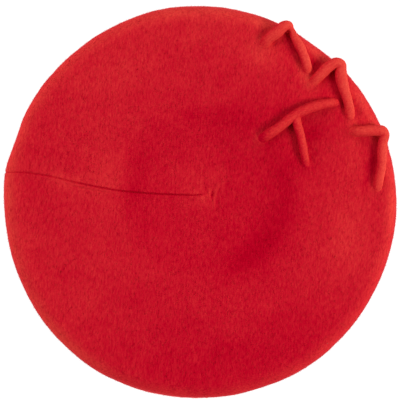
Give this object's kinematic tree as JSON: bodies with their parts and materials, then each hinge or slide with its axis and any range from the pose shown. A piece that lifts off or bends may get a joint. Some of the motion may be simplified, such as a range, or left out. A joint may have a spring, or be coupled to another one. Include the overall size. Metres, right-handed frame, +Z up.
{
  "type": "felted knit beret",
  "caption": "Round felted knit beret lying flat, with a sunken top, a side seam and felt cord loops over one part of its rim.",
  "frame": {"origin": "under the middle of the beret's plan box, on the surface that it lies on", "axes": "+Z up out of the crown; the seam runs from the middle out to -X, and the cord loops are in the +X +Y quarter of the rim"},
  "size_m": [0.2808, 0.28, 0.0387],
  "materials": {
    "crown_felt": "brushed fulled wool felt, bright red",
    "cord_felt": "firm round wool felt cord, bright red"
  },
  "bodies": {
    "root": {"crown": "crown_felt", "edge_loop_back": "cord_felt", "edge_loop_middle": "cord_felt", "edge_loop_front": "cord_felt", "inner_bar": "cord_felt", "inner_leg": "cord_felt"}
  },
  "joints": []
}
